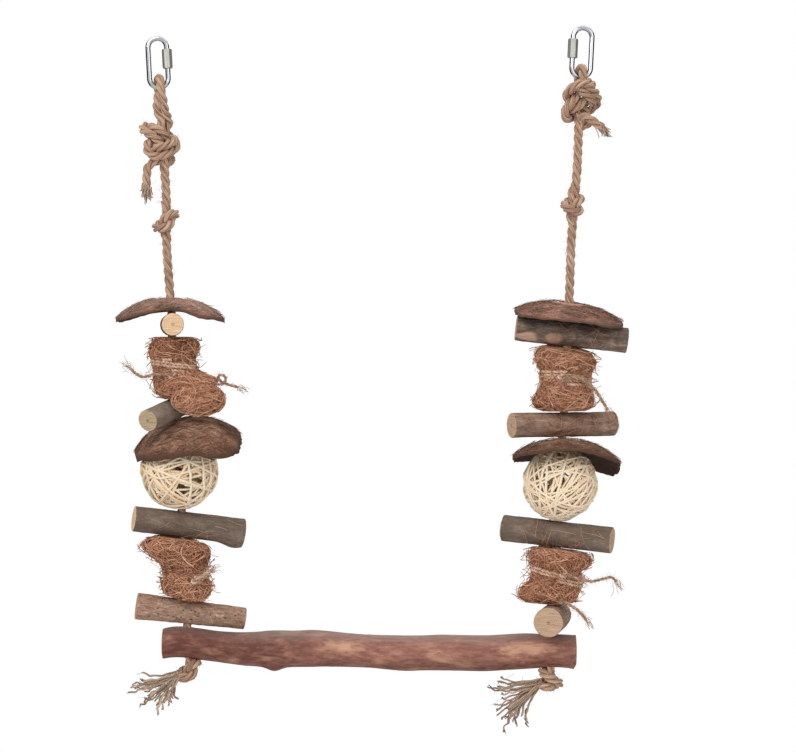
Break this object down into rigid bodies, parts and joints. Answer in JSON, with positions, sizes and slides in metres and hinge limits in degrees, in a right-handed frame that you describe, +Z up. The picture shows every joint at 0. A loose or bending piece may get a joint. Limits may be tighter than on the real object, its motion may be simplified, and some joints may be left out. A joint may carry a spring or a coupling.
{
  "type": "bird swing",
  "caption": "Hanging natural bird swing: bark perch on ropes strung with sticks, coconut shell, vine balls and tied coir, hung from screw links.",
  "frame": {"origin": "midway between the two places where the hooks bear, inside the tops of the links", "axes": "+X along the perch to the right seen from the front, +Y away from the front, +Z up"},
  "size_m": [0.384, 0.0822, 0.5339],
  "materials": {
    "link_steel": "bright plated",
    "nut_steel": "dull plated",
    "jute_rope": "three-strand laid, hairy",
    "rope_yarn": "unlaid yarn",
    "twine": "twisted, hairy",
    "coir": "loose fibre",
    "coconut_shell": "raw, fibrous",
    "bark_stick": "rough bark, sawn ends",
    "perch_bark": "smooth bark",
    "vine": "raw, peeled"
  },
  "bodies": {
    "hangers": {"left_quick_link": "link_steel", "right_quick_link": "link_steel"},
    "left_nut": {"left_link_nut": "nut_steel"},
    "right_nut": {"right_link_nut": "nut_steel"},
    "rope_eyes": {"left_rope_eye": "jute_rope", "left_top_knot": "jute_rope", "left_top_tail": "jute_rope", "right_rope_eye": "jute_rope", "right_top_knot": "jute_rope", "right_top_tail": "jute_rope"},
    "left_rope": {"left_rope": "jute_rope", "left_stop_knot": "jute_rope", "left_upper_coir": "coir", "left_upper_tie": "twine", "left_lower_coir": "coir", "left_lower_tie": "twine"},
    "right_rope": {"right_rope": "jute_rope", "right_stop_knot": "jute_rope", "right_upper_coir": "coir", "right_upper_tie": "twine", "right_lower_coir": "coir", "right_lower_tie": "twine"},
    "perch": {"perch": "perch_bark", "left_rope_end": "jute_rope", "left_bottom_knot": "jute_rope", "left_fringe": "rope_yarn", "right_rope_end": "jute_rope", "right_bottom_knot": "jute_rope", "right_fringe": "rope_yarn"},
    "left_upper_shell": {"left_upper_shell": "coconut_shell"},
    "left_top_stick": {"left_top_stick": "bark_stick"},
    "left_middle_stick": {"left_middle_stick": "bark_stick"},
    "left_lower_shell": {"left_lower_shell": "coconut_shell"},
    "left_vine_ball": {"left_vine_ball": "vine"},
    "left_lower_stick": {"left_lower_stick": "bark_stick"},
    "left_bottom_stick": {"left_bottom_stick": "bark_stick"},
    "right_upper_shell": {"right_upper_shell": "coconut_shell"},
    "right_top_stick": {"right_top_stick": "bark_stick"},
    "right_middle_stick": {"right_middle_stick": "bark_stick"},
    "right_lower_shell": {"right_lower_shell": "coconut_shell"},
    "right_vine_ball": {"right_vine_ball": "vine"},
    "right_lower_stick": {"right_lower_stick": "bark_stick"},
    "right_bottom_stick": {"right_bottom_stick": "bark_stick"}
  },
  "joints": [
    {"name": "left_nut_slide", "type": "slide", "parent": "hangers", "child": "left_nut", "axis": [0.0524, 0, -0.9986], "range_m": [0, 0.0058]},
    {"name": "right_nut_slide", "type": "slide", "parent": "hangers", "child": "right_nut", "axis": [-0.0511, 0, -0.9987], "range_m": [0, 0.0058]},
    {"name": "swing", "type": "hinge", "parent": "hangers", "child": "rope_eyes", "pos_m": [-0.15791, 0, -0.03885], "axis": [0.9997, 0, 0.0247], "range_deg": [-45, 45]},
    {"name": "left_sway", "type": "hinge", "parent": "rope_eyes", "child": "left_rope", "pos_m": [-0.15493, 0, -0.09567], "axis": [0, 1, 0], "range_deg": [-10, 10]},
    {"name": "right_sway", "type": "hinge", "parent": "rope_eyes", "child": "right_rope", "pos_m": [0.15608, 0, -0.06791], "axis": [0, 1, 0], "range_deg": [-12, 12], "deforming": ["right_lower_coir"]},
    {"name": "perch_level", "type": "hinge", "parent": "left_rope", "child": "perch", "pos_m": [-0.13886, 0, -0.40187], "axis": [0, 1, 0], "range_deg": [-12, 12], "deforming": ["left_lower_coir"]},
    {"name": "left_upper_shell_spin", "type": "hinge", "parent": "left_rope", "child": "left_upper_shell", "pos_m": [-0.14966, 0, -0.19603], "axis": [0, -0.0175, 0.9998], "continuous": true},
    {"name": "left_top_stick_spin", "type": "hinge", "parent": "left_rope", "child": "left_top_stick", "pos_m": [-0.14858, 0, -0.21663], "axis": [0, -0.0175, 0.9998], "continuous": true},
    {"name": "left_middle_stick_spin", "type": "hinge", "parent": "left_rope", "child": "left_middle_stick", "pos_m": [-0.14533, 0, -0.27865], "axis": [-0.171, -0.1736, 0.9698], "continuous": true},
    {"name": "left_lower_shell_spin", "type": "hinge", "parent": "left_rope", "child": "left_lower_shell", "pos_m": [-0.14485, 0, -0.28767], "axis": [-0.2389, -0.1564, 0.9583], "continuous": true},
    {"name": "left_vine_ball_spin", "type": "hinge", "parent": "left_rope", "child": "left_vine_ball", "pos_m": [-0.14284, 0, -0.32596], "axis": [-0.0524, 0, 0.9986], "continuous": true},
    {"name": "left_lower_stick_spin", "type": "hinge", "parent": "left_rope", "child": "left_lower_stick", "pos_m": [-0.14072, 0, -0.36641], "axis": [0.1392, 0, 0.9903], "continuous": true},
    {"name": "left_bottom_stick_spin", "type": "hinge", "parent": "perch", "child": "left_bottom_stick", "pos_m": [-0.13728, 0, -0.43182], "axis": [0.1392, 0, 0.9903], "continuous": true},
    {"name": "right_upper_shell_spin", "type": "hinge", "parent": "right_rope", "child": "right_upper_shell", "pos_m": [0.14933, 0, -0.19989], "axis": [0.1104, -0.1392, 0.9841], "continuous": true},
    {"name": "right_top_stick_spin", "type": "hinge", "parent": "right_rope", "child": "right_top_stick", "pos_m": [0.14813, 0, -0.2235], "axis": [0.1104, -0.1392, 0.9841], "continuous": true},
    {"name": "right_middle_stick_spin", "type": "hinge", "parent": "right_rope", "child": "right_middle_stick", "pos_m": [0.14465, 0, -0.29151], "axis": [-0.0087, 0, 1], "continuous": true},
    {"name": "right_lower_shell_spin", "type": "hinge", "parent": "right_rope", "child": "right_lower_shell", "pos_m": [0.14412, 0, -0.30192], "axis": [0, 0.1392, 0.9903], "continuous": true},
    {"name": "right_vine_ball_spin", "type": "hinge", "parent": "right_rope", "child": "right_vine_ball", "pos_m": [0.1424, 0, -0.33548], "axis": [0.0511, 0, 0.9987], "continuous": true},
    {"name": "right_lower_stick_spin", "type": "hinge", "parent": "right_rope", "child": "right_lower_stick", "pos_m": [0.14045, 0, -0.37372], "axis": [0.0958, 0, 0.9954], "continuous": true},
    {"name": "right_bottom_stick_spin", "type": "hinge", "parent": "perch", "child": "right_bottom_stick", "pos_m": [0.13721, 0, -0.43704], "axis": [0, 0.0349, 0.9994], "continuous": true}
  ],
  "couplings": [
    {"joint": "right_sway", "follows": "left_sway", "ratio": 0.9068},
    {"joint": "perch_level", "follows": "left_sway", "ratio": -1.115},
    {"joint": "left_top_stick_spin", "follows": "left_upper_shell_spin", "ratio": 1}
  ]
}
